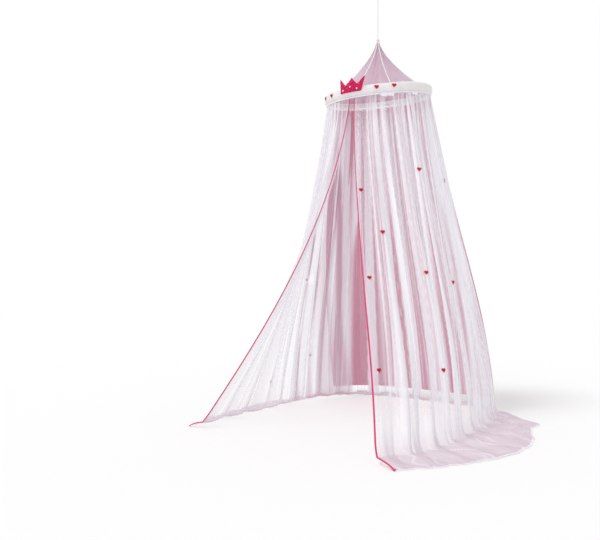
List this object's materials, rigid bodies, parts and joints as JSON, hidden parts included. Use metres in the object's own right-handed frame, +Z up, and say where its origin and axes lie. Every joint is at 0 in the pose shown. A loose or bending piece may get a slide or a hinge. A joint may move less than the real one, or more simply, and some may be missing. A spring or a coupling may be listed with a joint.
{
  "type": "bed crown canopy",
  "caption": "Bed crown canopy: a padded hoop on a ceiling cord carries a lined sheer roof, gathered net open at the front with bound edges, mauve voile behind, a puffed crown and hearts.",
  "frame": {"origin": "middle of the ceiling plate's upper face, where it bears on the ceiling", "axes": "+Z up into the ceiling, -Y out of the canopy's front opening, +X to the right seen from the front"},
  "size_m": [1.8368, 1.6295, 2.7229],
  "materials": {
    "white_enamel": "white enamel on pressed steel",
    "zinc_steel": "bright zinc plate",
    "white_cord": "laid cotton cord",
    "ivory_collar": "satin moulded plastic",
    "ivory_band": "satin fabric over wadding",
    "mauve_voile": "sheer mauve voile",
    "mauve_lining": "matt mauve voile, closely woven",
    "white_net": "fine soft net",
    "pink_binding": "folded satin bias binding",
    "pink_crown": "padded felt with a sewn edge",
    "rose_felt": "wool felt",
    "clear_stone": "faceted acrylic, flat back"
  },
  "bodies": {
    "ceiling_mount": {"ceiling_plate": "white_enamel", "ceiling_screw_left": "zinc_steel", "ceiling_screw_right": "zinc_steel", "ceiling_hook": "zinc_steel", "hook_nut": "zinc_steel", "hanging_loop": "white_cord", "loop_knot": "white_cord"},
    "canopy": {"hanging_cord": "white_cord", "roof_collar": "ivory_collar", "cord_end_knot": "white_cord", "ring_band": "ivory_band", "hoop_left": "zinc_steel", "hoop_right": "zinc_steel", "hoop_joiner_front": "zinc_steel", "hoop_joiner_back": "zinc_steel", "roof_cover": "white_net", "roof_lining": "mauve_lining", "heading_tape": "ivory_band", "net_left_front": "white_net", "net_left_side": "white_net", "net_left_back": "white_net", "net_right_back": "white_net", "net_right_side": "white_net", "net_right_front": "white_net", "edge_binding_left": "pink_binding", "edge_binding_right": "pink_binding", "voile_left": "mauve_voile", "voile_back": "mauve_voile", "crown": "pink_crown", "crown_stone_left": "clear_stone", "crown_stone_middle": "clear_stone", "crown_stone_right": "clear_stone", "band_heart_1": "rose_felt", "band_heart_2": "rose_felt", "band_heart_3": "rose_felt", "band_heart_4": "rose_felt", "net_heart_1": "rose_felt", "net_heart_2": "rose_felt", "net_heart_3": "rose_felt", "net_heart_4": "rose_felt", "net_heart_5": "rose_felt", "net_heart_6": "rose_felt", "net_heart_7": "rose_felt", "net_heart_8": "rose_felt", "net_heart_9": "rose_felt", "net_heart_10": "rose_felt", "net_heart_11": "rose_felt", "net_heart_12": "rose_felt", "net_heart_13": "rose_felt"}
  },
  "joints": [
    {"name": "canopy_turn", "type": "hinge", "parent": "ceiling_mount", "child": "canopy", "pos_m": [0, 0, -0.08], "axis": [0, 0, 1], "range_deg": [-180, 180]}
  ]
}
